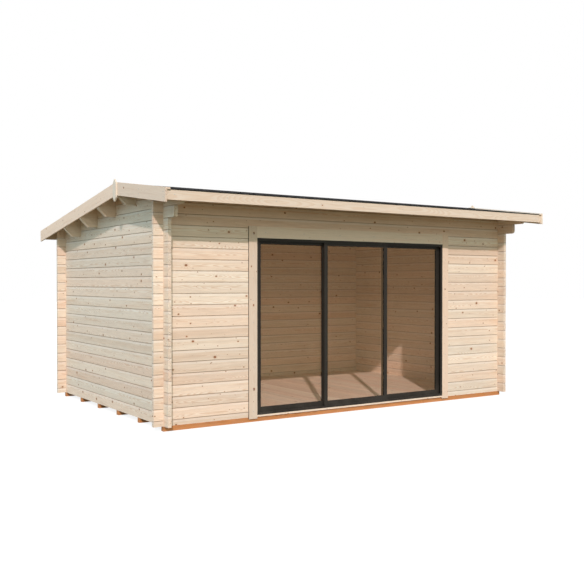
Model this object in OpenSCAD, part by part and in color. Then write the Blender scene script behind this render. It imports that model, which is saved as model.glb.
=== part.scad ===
// Log garden house with a wide aluminium sliding door and an uneven gable roof.
// X runs along the front wall, Y from the front to the back, Z up, all in millimetres.
// The origin is on the level ground, in the middle of the house's overall box.

/* [Log walls] */
// Width over the outer faces of the side walls
house_w = 5460; // [4600:10:6600]
// Depth over the outer faces of the front and back walls
house_d = 3460; // [3000:10:4200]
// Cover height of one log
log_h = 130; // [112:1:150]
// Thickness of a log
log_t = 44; // [34:1:70]
// How far the logs run past the crossing wall
log_end = 120; // [80:1:160]
// Width of the small chamfers that make the joint line between logs
log_chamfer = 5; // [3:0.5:9]
// Depth by which a log's two shoulders lie below its bearing, which leaves a dark line at each joint
joint_relief = 1; // [0:0.5:2]
// Height of the tongues on top of each log
tongue_h = 7; // [4:0.5:10]

/* [Foundation and floor] */
// Width of a foundation joist
joist_w = 60; // [45:1:95]
// Height of a foundation joist
joist_h = 58; // [40:1:95]
// Number of foundation joists
joist_count = 6; // [4:1:8]
// Thickness of the floor boards
floor_t = 19; // [16:1:28]
// Thickness of the skirting boards
skirting_t = 15; // [10:1:20]
// Height of the skirting boards
skirting_h = 40; // [30:1:60]

/* [Roof] */
// Height of the underside of the roof boards at the ridge, above the foot of the walls
ridge_h = 2775; // [2700:1:3100]
// Distance of the ridge behind the front wall's outer face
ridge_back = 800; // [650:10:1700]
// Pitch of both roof slopes
roof_pitch = 7.9; // [6:0.1:12]
// Eave overhang at the front, to the face of the fascia
eave_front = 566; // [400:1:700]
// Eave overhang at the back, to the face of the fascia
eave_back = 345; // [300:1:700]
// Side overhang, to the outer face of the barge boards
verge = 245; // [190:1:400]
// Thickness of the roof boards
deck_t = 19; // [16:1:28]
// Thickness of the roofing membrane
roofing_t = 4; // [2:0.5:6]
// How far the membrane's edge is turned down over the fascias
roofing_drip = 5; // [3:1:40]
// Thickness of the fascias and barge boards
trim_board_t = 19; // [15:1:28]
// Height of the fascias, down from the top of the roof boards
fascia_h = 112; // [90:1:150]
// Height of the barge boards
barge_h = 155; // [120:1:200]
// How far the barge boards stand above the roof boards
barge_rise = 18; // [10:1:30]
// How far the barge boards run out past the fascias
barge_end = 24; // [10:1:40]
// Width of the verge strips that hold the membrane's side edges
verge_strip_w = 40; // [25:1:60]
// Width of the finial boards
finial_w = 92; // [60:1:140]
// Height of the finial boards
finial_h = 269; // [200:1:360]
// How far the finial's tip stands above the barge boards' ridge
finial_rise = 37; // [20:1:80]

/* [Purlins and corbels] */
// Thickness of a purlin
purlin_t = 70; // [44:1:90]
// Height of the purlins behind the ridge
purlin_h = 239; // [180:1:280]
// Height of the ridge purlin
ridge_purlin_h = 225; // [180:1:280]
// Number of purlins between the ridge and the back wall
purlin_count = 3; // [2:1:4]
// Spacing of the purlins, counted from the back wall
purlin_pitch = 660; // [560:1:700]
// Length of the slanted cut under each purlin end
purlin_cut = 102; // [30:1:110]
// Reach of the lower corbel log past the wall's face
corbel_reach = 286; // [180:1:360]
// Radius of the lower corbel's rounded nose
corbel_radius = 40; // [20:1:60]
// Length of the slanted cut under the upper corbel logs
corbel_cut = 105; // [60:1:124]

/* [Sliding door] */
// Distance of the visible door frame from the left side wall's outer face
door_left = 1220; // [900:5:1400]
// Width of the door frame between its trims
door_w = 3051; // [2700:1:3300]
// Height of the door frame's head above the foot of the walls, under the head trim
door_top = 2158; // [2120:1:2180]
// Thickness of the sill board under the door frame
sill_t = 22; // [18:1:24]
// Width of the frame's face around the leaves
frame_face = 34; // [32:1:50]
// Wall thickness of the frame's outer web
frame_web = 12; // [8:1:16]
// Thickness of the frame's front and back lips
frame_lip = 6; // [4:1:8]
// Overlap of the trims on the frame
trim_overlap = 10; // [5:1:15]
// Thickness of a door leaf
leaf_t = 28; // [24:1:30]
// Space between the sliding leaf and the fixed leaves
track_gap = 8; // [6:1:12]
// Width of the outer stiles of the fixed leaves
stile_w = 62; // [50:1:90]
// Width of the stiles where the leaves meet
meeting_stile_w = 50; // [40:1:60]
// Height of a leaf's bottom rail
bottom_rail_h = 60; // [50:1:90]
// Height of a leaf's top rail
top_rail_h = 55; // [48:1:90]
// Thickness of the glass
glass_t = 6; // [4:1:10]
// Width of the door trims
trim_w = 112; // [90:1:130]
// Thickness of the door trims
trim_t = 20; // [16:1:28]
// How far the trims reach past the first log joint above the door
trim_over_joint = 22; // [0:1:60]

/* [Hidden] */

// Clearance left between pieces that seat on each other
gap = 0.3;
// More than any piece, for cuts that run right through
far = 9000;

// Wall positions
wall_x = house_w / 2;
log_reach_x = wall_x + log_end;

// Roof lines: height of the roof boards' underside and of what lies on them
roof_fall = tan(roof_pitch);
function roof_z(y) = ridge_h - roof_fall * abs(y - ridge_back);
deck_top = deck_t / cos(roof_pitch);
roofing_top = deck_top + gap + roofing_t;
barge_top = deck_top + barge_rise;
barge_inner_x = wall_x + verge - trim_board_t;
fascia_front_y = -eave_front;
fascia_back_y = house_d + eave_back;
deck_front_y = fascia_front_y + trim_board_t + gap;
deck_back_y = fascia_back_y - trim_board_t - gap;
barge_front_y = fascia_front_y - barge_end;
barge_back_y = fascia_back_y + barge_end;
roofing_x = barge_inner_x - verge_strip_w - gap;

// Overall box: the house stands in its middle
origin_y = (barge_front_y + barge_back_y) / 2;

// Corner joint: each crossing log keeps its middle half
notch_w = log_t + 2 * gap;
// The wall's eave logs: the lowest course that runs out under the front and the back eave.
// Its underside lies at least this many logs below the roof boards.
eave_log_depth = 1.2;
front_eave_course = floor(roof_z(0) / log_h - eave_log_depth);
back_eave_course = floor(roof_z(house_d) / log_h - eave_log_depth);
side_courses = ceil(ridge_h / log_h);

// Two tongues and grooves across a log's thickness: their width, middles and slimmer top, as shares
tongue_share = 0.18;
tongue_places = [0.34, 0.66];
tongue_taper = 0.8;
tongue_w = log_t * tongue_share;
tongue_x = log_t * tongue_places;

// First course that runs over the door
over_door_course = floor((door_top - 1) / log_h + 0.5);

// Door places, from the middle of the front wall
frame_x0 = door_left - wall_x - trim_overlap;
frame_x1 = frame_x0 + door_w + 2 * trim_overlap;
frame_z0 = sill_t;
frame_z1 = door_top + trim_overlap;
frame_front_y = -trim_t;
// Space between the frame and the cut log ends beside it
frame_fit = 5;
door_x0 = frame_x0 + trim_overlap;
door_x1 = frame_x1 - trim_overlap;
opening_x0 = frame_x0 - frame_fit;
opening_x1 = frame_x1 + frame_fit;
// Space left above the frame for the logs to settle
settling_gap = 30;
opening_z1 = frame_z1 + settling_gap;
// Space between a leaf and the frame in front of it, below it and above it
running_gap = 6;
// Space behind the fixed leaves, for their seals
seal_gap = 8;
// Space between the outer leaves and the jambs
leaf_side_gap = 12;
sliding_y = frame_front_y + frame_lip + running_gap;
fixed_y = sliding_y + leaf_t + track_gap;
frame_back_y = fixed_y + leaf_t + seal_gap + frame_lip;
leaves_x0 = frame_x0 + frame_web + leaf_side_gap;
leaves_x1 = frame_x1 - frame_web - leaf_side_gap;
leaf_w = (leaves_x1 - leaves_x0 + 2 * meeting_stile_w) / 3;
sliding_x0 = leaves_x0 + leaf_w - meeting_stile_w;
right_leaf_x0 = leaves_x1 - leaf_w;
// Heights of the daylight opening in every leaf
glass_z0 = frame_z0 + frame_web + running_gap + bottom_rail_h;
glass_z1 = frame_z1 - frame_web - running_gap - top_rail_h;
// Rail on the sill, the slot that straddles it, and the rollers in the slot
rail_w = 6;
rail_h = 14;
rail_play = 5;
slot_w = rail_w + 2 * rail_play;
roller_r = 9;
roller_clear = 2;
roller_inset = 120;
axle_r = 2.5;
axle_seat = 2;
// How deep the glass is let into the leaf, and the rebate for its beads
leaf_glass_inset = 10;
bead_w = 12;
bead_depth = 4;

// Puts the house in its frame: middle of the box, joists on the ground
module place() {
    translate([0, -origin_y, joist_h]) children();
}

// Prism along X between x0 and x1 from an outline in Y and Z
module along_x(x0, x1) {
    translate([x0, 0, 0]) rotate([90, 0, 90]) linear_extrude(x1 - x0) children();
}

// Prism along Y between y0 and y1 from an outline in X and Z
module along_y(y0, y1) {
    translate([0, y1, 0]) rotate([90, 0, 0]) linear_extrude(y1 - y0) children();
}

// Box between two corners
module span(low, high) {
    translate(low) cube(high - low);
}

// Roof-shaped strip between two depths, measured up from the roof boards' underside
module roof_strip(y0, y1, low, high) {
    polygon([
        [y0, roof_z(y0) + low], [y1, roof_z(y1) + low],
        [y1, roof_z(y1) + high], [y0, roof_z(y0) + high]
    ]);
}

// Everything above the roof boards' underside
module above_roof() {
    along_x(-far / 2, far / 2) polygon([
        [-far / 2, roof_z(-far / 2) - gap], [ridge_back, ridge_h - gap],
        [far / 2, roof_z(far / 2) - gap], [far / 2, far], [-far / 2, far]
    ]);
}

// Cross-section of a log: chamfered edges, two tongues on top and two grooves below
module log_section(height, grooved = true) {
    h = height - gap;
    shoulder = h - joint_relief;
    c = log_chamfer;
    half = tongue_w / 2;
    top = half * tongue_taper;
    deep = tongue_h + gap;
    bottom_edge = [for (x = tongue_x) each [
        [x - half - gap, 0], [x - top - gap, deep], [x + top + gap, deep], [x + half + gap, 0]
    ]];
    top_edge = [
        [tongue_x[1] + half, shoulder], [tongue_x[1] + top, h + tongue_h],
        [tongue_x[1] - top, h + tongue_h], [tongue_x[1] - half, h],
        [tongue_x[0] + half, h], [tongue_x[0] + top, h + tongue_h],
        [tongue_x[0] - top, h + tongue_h], [tongue_x[0] - half, shoulder]
    ];
    foot = grooved
        ? concat([[0, c], [c, 0]], bottom_edge, [[log_t - c, 0], [log_t, c]])
        : [[0, 0], [log_t, 0]];
    polygon(concat(foot, [[log_t, shoulder - c], [log_t - c, shoulder]], top_edge,
        [[c, shoulder], [0, shoulder - c]]));
}

// Notches that leave the middle half of a log whose middle lies at height mid
module corner_notch(x0, x1, y0, y1, mid) {
    span([x0, y0, mid - log_h], [x1, y1, mid - log_h / 4 + gap / 2]);
    span([x0, y0, mid + log_h / 4 - gap / 2], [x1, y1, mid + 2 * log_h]);
}

// Courses of the front and back walls start with half a log, so that they cross the side courses
function cross_z0(course) = course == 0 ? 0 : (course - 0.5) * log_h;
function cross_z1(course) = (course + 0.5) * log_h;

// Top course of a cross wall at depth y: a rest of under a third of a log stays on the log below.
// The courses lie half a log lower, so the third counts from there.
least_rest = 1 / 3;
function top_course(y) = floor(roof_z(y) / log_h + 1 / 2 - least_rest);

front_top_course = top_course(0);
back_top_course = top_course(house_d);

// One log of the front or back wall, with its outer face at depth y and the top one cut to the roof
module cross_log(y, x0, x1, course, top) {
    z0 = cross_z0(course);
    mid = cross_z1(course) - log_h / 2;
    height = course == top ? 2 * log_h : cross_z1(course) - z0;
    difference() {
        translate([0, y, z0]) along_x(x0, x1) log_section(height, course > 0);
        for (side = [-1, 1]) {
            x = side * (wall_x - log_t / 2);
            corner_notch(x - notch_w / 2, x + notch_w / 2, y - 1, y + log_t + 1, mid);
        }
        if (course == top) above_roof();
    }
}

module front_wall_side(x0, x1) {
    color("burlywood") place()
        for (course = [0 : over_door_course - 1]) cross_log(0, x0, x1, course, front_top_course);
}

module front_wall_top() {
    color("burlywood") place() difference() {
        for (course = [over_door_course : front_top_course])
            cross_log(0, -log_reach_x, log_reach_x, course, front_top_course);
        span([opening_x0, -1, 0], [opening_x1, log_t + 1, opening_z1]);
    }
}

module back_wall() {
    color("burlywood") place()
        for (course = [0 : back_top_course])
            cross_log(house_d - log_t, -log_reach_x, log_reach_x, course, back_top_course);
}

// How far a side log runs past the front and the back wall
function eave_reach(eave) = eave - trim_board_t - gap;
function side_reach(course, eave_course, eave) =
    course >= eave_course ? eave_reach(eave)
    : course == eave_course - 1 ? min(corbel_reach, eave_reach(eave) - corbel_cut)
    : log_end;

// What is cut off the end of a side log: a slant under the eave, a round nose on the corbel
module side_end_cut(course, eave_course, reach) {
    z0 = course * log_h;
    if (course == eave_course)
        rotate([90, 0, 90]) linear_extrude(log_t + 2)
            polygon([[reach - corbel_cut, z0 - 1], [reach + 1, z0 - 1], [reach + 1, z0 + corbel_cut + 1]]);
    if (course == eave_course - 1)
        rotate([90, 0, 90]) linear_extrude(log_t + 2) difference() {
            translate([reach - corbel_radius, z0 - 1]) square(corbel_radius + 1);
            translate([reach - corbel_radius, z0 + corbel_radius]) circle(corbel_radius, $fn = 48);
        }
}

// One log of a side wall, with its outer face at X = 0 and its inner face at X = log_t
module side_log(course) {
    z0 = course * log_h;
    mid = z0 + log_h / 2;
    front = side_reach(course, front_eave_course, eave_front);
    back = side_reach(course, back_eave_course, eave_back);
    difference() {
        translate([0, 0, z0]) along_y(-front, house_d + back) log_section(log_h, course > 0);
        for (y = [log_t / 2, house_d - log_t / 2])
            corner_notch(-1, log_t + 1, y - notch_w / 2, y + notch_w / 2, mid);
        translate([-1, 0, 0]) mirror([0, 1, 0]) side_end_cut(course, front_eave_course, front);
        translate([-1, house_d, 0]) side_end_cut(course, back_eave_course, back);
    }
}

module left_logs() {
    translate([-wall_x, 0, 0]) difference() {
        for (course = [0 : side_courses - 1]) side_log(course);
        above_roof();
        purlin_pockets();
    }
}

module left_wall() {
    color("wheat") place() left_logs();
}

module right_wall() {
    color("wheat") place() mirror([1, 0, 0]) left_logs();
}

// Purlins: the first runs under the ridge, the others are set out from the back wall
function purlin_y(i) = house_d - log_t / 2 - i * purlin_pitch;
function purlin_foot(y, height) = roof_z(y - purlin_t / 2) - height;

module purlin_pockets() {
    side = purlin_t / 2 + gap;
    span([-1, ridge_back - side, ridge_h - ridge_purlin_h - gap], [log_t + 1, ridge_back + side, far / 2]);
    for (i = [1 : purlin_count]) {
        y = purlin_y(i);
        span([-1, y - side, purlin_foot(y, purlin_h) - gap], [log_t + 1, y + side, far / 2]);
    }
}

// A bar on edge along X, its top cut to the roof and its ends slanted from below
module purlin(y, foot) {
    reach = barge_inner_x - gap;
    difference() {
        span([-reach, y - purlin_t / 2, foot], [reach, y + purlin_t / 2, ridge_h]);
        above_roof();
        for (side = [0, 1]) mirror([side, 0, 0])
            along_y(y - purlin_t, y + purlin_t)
                polygon([
                    [reach - purlin_cut, foot - 1], [reach + 1, foot - 1], [reach + 1, foot + purlin_cut + 1]
                ]);
    }
}

module ridge_purlin() {
    color("tan") place() purlin(ridge_back, ridge_h - ridge_purlin_h);
}

module roof_purlins() {
    color("tan") place()
        for (i = [1 : purlin_count]) purlin(purlin_y(i), purlin_foot(purlin_y(i), purlin_h));
}

// Roof boards of one slope, between the barge boards
module roof_deck(y0, y1) {
    x = barge_inner_x - gap;
    color("bisque") place() along_x(-x, x) roof_strip(y0, y1, 0, deck_top);
}

// Membrane of one slope, between the verge strips, with its edge turned down over the fascia
module roofing(ridge_y, eave_y) {
    outward = sign(eave_y - ridge_y);
    face = eave_y + outward * gap;
    out = face + outward * roofing_t;
    foot = roof_z(face) + deck_top - roofing_drip;
    color("black") place() along_x(-roofing_x, roofing_x) polygon([
        [ridge_y, roof_z(ridge_y) + deck_top + gap], [face, roof_z(face) + deck_top + gap],
        [face, foot], [out, foot],
        [out, roof_z(out) + roofing_top], [ridge_y, roof_z(ridge_y) + roofing_top]
    ]);
}

// Fascia over the roof boards' ends, between the barge boards
module fascia(y0, y1, face_y) {
    x = barge_inner_x - gap;
    top = roof_z(face_y) + deck_top;
    color("antiquewhite") place() span([-x, y0, top - fascia_h], [x, y1, top]);
}

// The two barge boards of the left end meet at the ridge
module left_barges() {
    low = barge_top - barge_h;
    along_x(-barge_inner_x - trim_board_t, -barge_inner_x) {
        roof_strip(barge_front_y, ridge_back - gap / 2, low, barge_top);
        roof_strip(ridge_back + gap / 2, barge_back_y, low, barge_top);
    }
}

// Strips on the roof boards' edge, inside the barge boards
module left_strips() {
    along_x(-barge_inner_x + gap, -roofing_x - gap) {
        roof_strip(barge_front_y, ridge_back - gap / 2, deck_top + gap, barge_top);
        roof_strip(ridge_back + gap / 2, barge_back_y, deck_top + gap, barge_top);
    }
}

// Board with pointed ends that covers the joint of the barge boards
module left_finial_board() {
    tip = ridge_h + barge_top + finial_rise;
    half = finial_w / 2;
    along_x(-barge_inner_x - 2 * trim_board_t, -barge_inner_x - trim_board_t) polygon([
        [ridge_back, tip], [ridge_back - half, tip - half], [ridge_back - half, tip - finial_h + half],
        [ridge_back, tip - finial_h], [ridge_back + half, tip - finial_h + half],
        [ridge_back + half, tip - half]
    ]);
}

module foundation_joists() {
    step = (house_d - joist_w) / (joist_count - 1);
    color("peru") place()
        for (i = [0 : joist_count - 1])
            span([-wall_x, i * step, -joist_h], [wall_x, i * step + joist_w, 0]);
}

module floor_boards() {
    inset = log_t + gap;
    color("navajowhite") place()
        span([-wall_x + inset, inset, 0], [wall_x - inset, house_d - inset, floor_t]);
}

// Skirting along the four walls, stopping at the door frame
module skirting_boards() {
    x = wall_x - log_t - gap;
    y0 = log_t + gap;
    y1 = house_d - log_t - gap;
    z1 = floor_t + skirting_h;
    color("burlywood") place() {
        span([-x, y1 - skirting_t, floor_t], [x, y1, z1]);
        for (side = [0, 1]) mirror([side, 0, 0])
            span([-x, y0 + skirting_t + gap, floor_t], [-x + skirting_t, y1 - skirting_t - gap, z1]);
        span([-x, y0, floor_t], [frame_x0 - frame_fit, y0 + skirting_t, z1]);
        span([frame_x1 + frame_fit, y0, floor_t], [x, y0 + skirting_t, z1]);
    }
}

// Leaves out of a piece what the trims in front of the wall take up
module beside_trims() {
    difference() {
        children();
        span([-far / 2, -far, -far], [door_x0 + gap, gap, far]);
        span([door_x1 - gap, -far, -far], [far / 2, gap, far]);
        span([-far / 2, -far, door_top - gap], [far / 2, gap, far]);
    }
}

module door_sill_board() {
    color("antiquewhite") place() beside_trims()
        span([opening_x0 + gap, -trim_t, 0], [opening_x1 - gap, log_t - gap, sill_t - gap]);
}

// Rail or rib along the middle of the sliding leaf's track
module track_rail(z0, z1) {
    y = sliding_y + leaf_t / 2;
    span([frame_x0, y - rail_w / 2, z0], [frame_x1, y + rail_w / 2, z1]);
}

// Frame members: channels open towards the leaves
module door_frame() {
    y0 = frame_front_y;
    y1 = frame_back_y;
    inner_y0 = y0 + frame_lip;
    inner_y1 = y1 - frame_lip;
    sill_top = frame_z0 + frame_web + rail_h;
    head_foot = door_top - frame_face;
    middle = (frame_x0 + frame_x1) / 2;
    jamb_x0 = frame_x0 - middle;
    color("darkslategray") place() beside_trims() {
        // Sill with the rail that carries the sliding leaf
        difference() {
            span([frame_x0, y0, frame_z0], [frame_x1, y1, sill_top]);
            span([frame_x0 - 1, inner_y0, frame_z0 + frame_web], [frame_x1 + 1, inner_y1, frame_z1]);
        }
        track_rail(frame_z0 + frame_web - 1, sill_top);
        // Head with the rib that guides the sliding leaf
        difference() {
            span([frame_x0, y0, head_foot], [frame_x1, y1, frame_z1]);
            span([frame_x0 - 1, inner_y0, 0], [frame_x1 + 1, inner_y1, frame_z1 - frame_web]);
        }
        track_rail(frame_z1 - frame_web - rail_h, frame_z1 - frame_web + 1);
        // Jambs
        for (side = [0, 1]) translate([middle, 0, 0]) mirror([side, 0, 0]) difference() {
            span([jamb_x0, y0, sill_top + gap], [jamb_x0 + trim_overlap + frame_face, y1, head_foot - gap]);
            span([jamb_x0 + frame_web, inner_y0, 0], [far, inner_y1, far / 2]);
        }
    }
}

// One leaf between heights z0 and z1: two stiles with two rails between them
module leaf(x0, y0, z0, z1, left_w, right_w) {
    x1 = x0 + leaf_w;
    difference() {
        union() {
            span([x0, y0, z0], [x0 + left_w, y0 + leaf_t, z1]);
            span([x1 - right_w, y0, z0], [x1, y0 + leaf_t, z1]);
            span([x0 + left_w + gap, y0, z0], [x1 - right_w - gap, y0 + leaf_t, glass_z0]);
            span([x0 + left_w + gap, y0, glass_z1], [x1 - right_w - gap, y0 + leaf_t, z1]);
        }
        leaf_glass_box(x0, y0, left_w, right_w, leaf_glass_inset + gap, gap);
        for (y = [y0 - 1, y0 + leaf_t - bead_depth])
            span([x0 + left_w - bead_w, y, glass_z0 - bead_w],
                [x1 - right_w + bead_w, y + bead_depth + 1, glass_z1 + bead_w]);
    }
}

// Glass of a leaf, let into its stiles and rails
module leaf_glass_box(x0, y0, left_w, right_w, inset, side) {
    y = y0 + (leaf_t - glass_t) / 2;
    span([x0 + left_w - inset, y - side, glass_z0 - inset],
        [x0 + leaf_w - right_w + inset, y + glass_t + side, glass_z1 + inset]);
}

module fixed_leaf(x0, left_w, right_w) {
    color("darkslategray") place()
        leaf(x0, fixed_y, frame_z0 + frame_web + gap, frame_z1 - frame_web - gap, left_w, right_w);
}

module glass(x0, y0, left_w, right_w) {
    color([0.6, 0.5, 0.4, 0.4]) place() leaf_glass_box(x0, y0, left_w, right_w, leaf_glass_inset, 0);
}

// The sliding leaf straddles its rail and rolls on it
module sliding_leaf() {
    z0 = frame_z0 + frame_web + running_gap;
    z1 = frame_z1 - frame_web - running_gap;
    rail_top = frame_z0 + frame_web + rail_h;
    roller_z = rail_top + gap + roller_r;
    slot_y = sliding_y + (leaf_t - slot_w) / 2;
    color("darkslategray") place() {
        difference() {
            leaf(sliding_x0, sliding_y, z0, z1, meeting_stile_w, meeting_stile_w);
            span([sliding_x0 - 1, slot_y, z0 - 1],
                [sliding_x0 + leaf_w + 1, slot_y + slot_w, roller_z + roller_r + roller_clear]);
            span([sliding_x0 - 1, slot_y, z1 - rail_h - running_gap],
                [sliding_x0 + leaf_w + 1, slot_y + slot_w, z1 + 1]);
        }
        for (x = [sliding_x0 + roller_inset, sliding_x0 + leaf_w - roller_inset])
            translate([x, sliding_y + leaf_t / 2, roller_z]) rotate([90, 0, 0]) {
                cylinder(h = rail_w, r = roller_r, center = true, $fn = 48);
                cylinder(h = slot_w + 2 * axle_seat, r = axle_r, center = true, $fn = 24);
            }
    }
}

// The trims reach up to just over the first log joint above the door
trim_top = cross_z1(over_door_course) + trim_over_joint;

module side_door_trim(x0) {
    color("antiquewhite") place() span([x0, -trim_t, -trim_t], [x0 + trim_w, 0, trim_top]);
}

module head_door_trim() {
    color("antiquewhite") place() span([door_x0 + gap, -trim_t, door_top], [door_x1 - gap, 0, trim_top]);
}

foundation_joists();
floor_boards();
skirting_boards();
front_wall_side(-log_reach_x, opening_x0);  // front_wall_left
front_wall_side(opening_x1, log_reach_x);  // front_wall_right
front_wall_top();
left_wall();
right_wall();
back_wall();
ridge_purlin();
roof_purlins();
roof_deck(deck_front_y, ridge_back - gap / 2);  // roof_deck_front
roof_deck(ridge_back + gap / 2, deck_back_y);  // roof_deck_back
roofing(ridge_back - gap / 2, fascia_front_y);  // roofing_front
roofing(ridge_back + gap / 2, fascia_back_y);  // roofing_back
fascia(fascia_front_y, fascia_front_y + trim_board_t, fascia_front_y);  // front_fascia
fascia(fascia_back_y - trim_board_t, fascia_back_y, fascia_back_y);  // back_fascia
color("linen") place() left_barges();  // left_barge_boards
color("linen") place() mirror([1, 0, 0]) left_barges();  // right_barge_boards
color("linen") place() left_strips();  // left_verge_strips
color("linen") place() mirror([1, 0, 0]) left_strips();  // right_verge_strips
color("linen") place() left_finial_board();  // left_finial
color("linen") place() mirror([1, 0, 0]) left_finial_board();  // right_finial
door_sill_board();
door_frame();
fixed_leaf(leaves_x0, stile_w, meeting_stile_w);  // left_fixed_leaf
glass(leaves_x0, fixed_y, stile_w, meeting_stile_w);  // left_fixed_glass
sliding_leaf();
glass(sliding_x0, sliding_y, meeting_stile_w, meeting_stile_w);  // sliding_glass
fixed_leaf(right_leaf_x0, meeting_stile_w, stile_w);  // right_fixed_leaf
glass(right_leaf_x0, fixed_y, meeting_stile_w, stile_w);  // right_fixed_glass
side_door_trim(door_x0 - trim_w);  // left_door_trim
side_door_trim(door_x1);  // right_door_trim
head_door_trim();
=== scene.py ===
import math
from functools import partial

import bpy
import numpy as np
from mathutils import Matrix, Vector


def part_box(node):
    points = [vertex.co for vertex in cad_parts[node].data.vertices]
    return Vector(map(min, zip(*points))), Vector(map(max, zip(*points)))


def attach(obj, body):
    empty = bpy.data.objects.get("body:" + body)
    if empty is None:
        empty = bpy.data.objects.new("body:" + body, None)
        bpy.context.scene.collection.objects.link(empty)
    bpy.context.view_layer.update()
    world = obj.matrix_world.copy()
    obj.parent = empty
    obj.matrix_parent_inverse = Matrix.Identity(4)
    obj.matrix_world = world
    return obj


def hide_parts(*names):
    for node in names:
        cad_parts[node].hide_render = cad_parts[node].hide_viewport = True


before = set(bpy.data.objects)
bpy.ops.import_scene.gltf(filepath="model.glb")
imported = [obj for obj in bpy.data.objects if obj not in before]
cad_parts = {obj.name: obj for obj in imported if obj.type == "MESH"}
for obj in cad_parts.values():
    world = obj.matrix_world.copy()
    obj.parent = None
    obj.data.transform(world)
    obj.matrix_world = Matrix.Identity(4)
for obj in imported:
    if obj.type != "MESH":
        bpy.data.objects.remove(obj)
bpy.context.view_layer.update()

# ---------------------------------------------------------------------------------------------
# Log walls
# Planed spruce logs that lie on each other by tongue and groove, with a chamfer along every edge.
# They cross at notched corners, so nothing but the joint holds them; the timber is left bare.
log_h, log_t = 0.130, 0.044
wall_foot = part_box("left_wall")[0].z
house_middle = sum(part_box("left_wall")[i].y for i in (0, 1)) / 2
front_face, back_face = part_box("front_wall_top")[0].y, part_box("back_wall")[0].y
door_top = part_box("door_frame")[1].z


def add(tree, kind, feeds=None, **setup):
    """One shader node: setup sets its properties, and feeds sets its inputs, from values or from outputs."""
    node = tree.nodes.new("ShaderNode" + kind)
    for name, value in setup.items():
        setattr(node, name, value)
    for key, value in (feeds or {}).items():
        if isinstance(value, bpy.types.NodeSocket):
            tree.links.new(value, node.inputs[key])
        else:
            node.inputs[key].default_value = value
    return node


def calc(tree, how, *values):
    """The result of one step of arithmetic on numbers or sockets."""
    return add(tree, "Math", dict(enumerate(values)), operation=how).outputs[0]


def blend_in(tree, share, first, second, how="MIX"):
    """First colour with the second one laid over it by share."""
    return add(tree, "Mix", {0: share, 6: first, 7: second}, data_type="RGBA", blend_type=how).outputs[2]


def ease(tree, value, low, high, at_low=0.0, at_high=1.0):
    """Smooth step of value: at_low up to low, at_high from high on, and an S-curve between."""
    feeds = {"Value": value, "From Min": low, "From Max": high, "To Min": at_low, "To Max": at_high}
    return add(tree, "MapRange", feeds, interpolation_type="SMOOTHSTEP").outputs[0]


def point(tree, x=0.0, y=0.0, z=0.0):
    """A vector put together from three numbers."""
    return add(tree, "CombineXYZ", {0: x, 1: y, 2: z}).outputs[0]


def scaled(tree, vector, scale):
    """A vector times a number."""
    return add(tree, "VectorMath", {0: vector, 3: scale}, operation="SCALE").outputs[0]


def cloud(tree, where, detail=2.0, rough=0.5, flat=False):
    """Value and colour of soft noise, one cell to a unit of the vector where."""
    node = add(tree, "TexNoise", {"Vector": where, "Scale": 1.0, "Detail": detail, "Roughness": rough},
               noise_dimensions="2D" if flat else "3D")
    return node.outputs[0], node.outputs[1]


def parts(tree, vector):
    """The three numbers of a vector or colour."""
    return add(tree, "SeparateXYZ", {0: vector}).outputs


def draw(tree, first, second):
    """Three even random numbers for a pair of numbers."""
    made = add(tree, "TexWhiteNoise", {"Vector": point(tree, first, second)}, noise_dimensions="2D")
    return parts(tree, made.outputs["Color"])


def new_group(name, ins, outs):
    """An empty node group: ins are inputs as (name, kind, value), outs outputs as (name, kind)."""
    tree = bpy.data.node_groups.new(name, "ShaderNodeTree")
    for label, kind, value in ins:
        made = tree.interface.new_socket(label, in_out="INPUT", socket_type="NodeSocket" + kind)
        made.default_value = value
    for label, kind in outs:
        tree.interface.new_socket(label, in_out="OUTPUT", socket_type="NodeSocket" + kind)
    return tree, tree.nodes.new("NodeGroupInput").outputs, tree.nodes.new("NodeGroupOutput").inputs


# Knots of one size range: at most one to each stretch of a board, at a random place across it.
# Away is the distance from the knot's middle in units of its radius, stretched along the grain. A
# share of the stretches has no knot: it is moved this many radii away.
no_knot = 100.0
knot_lean, knot_stretch, knot_reach = 0.35, 1.35, 0.84
knots, given, gives = new_group(
    "knots",
    [("Along", "Float", 0), ("Across", "Float", 0), ("Depth", "Float", 0), ("Board", "Float", 0),
     ("Width", "Float", 0.13), ("Spacing", "Float", 0.5), ("Smallest", "Float", 0.004),
     ("Largest", "Float", 0.012), ("Share", "Float", 0.5), ("Draw", "Float", 0)],
    [("Away", "Float"), ("Radius", "Float"), ("Tone", "Float")])
lean = calc(knots, "MULTIPLY_ADD", given["Depth"], knot_lean, given["Along"])
place = calc(knots, "ADD", calc(knots, "DIVIDE", lean, given["Spacing"]),
             calc(knots, "MULTIPLY_ADD", given["Board"], 0.617, given["Draw"]))
stretch = calc(knots, "FLOOR", place)
board_draw = calc(knots, "ADD", given["Board"], given["Draw"])
side, across, size = draw(knots, stretch, board_draw)[:3]
second_draw = calc(knots, "ADD", given["Board"], calc(knots, "ADD", given["Draw"], 31.7))
chance, tone = draw(knots, stretch, second_draw)[:2]
middle = calc(knots, "MULTIPLY_ADD", side, 0.5, 0.25)
off_along = calc(knots, "MULTIPLY", calc(knots, "SUBTRACT", calc(knots, "FRACT", place), middle),
                 calc(knots, "DIVIDE", given["Spacing"], knot_stretch))
aside = calc(knots, "MULTIPLY", calc(knots, "SUBTRACT", across, 0.5), knot_reach)
off_across = calc(knots, "SUBTRACT", given["Across"], calc(knots, "MULTIPLY", aside, given["Width"]))
radius = calc(knots, "MULTIPLY_ADD", calc(knots, "POWER", size, 1.6),
              calc(knots, "SUBTRACT", given["Largest"], given["Smallest"]), given["Smallest"])
off_squared = calc(knots, "ADD", calc(knots, "POWER", off_along, 2.0), calc(knots, "POWER", off_across, 2.0))
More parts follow.
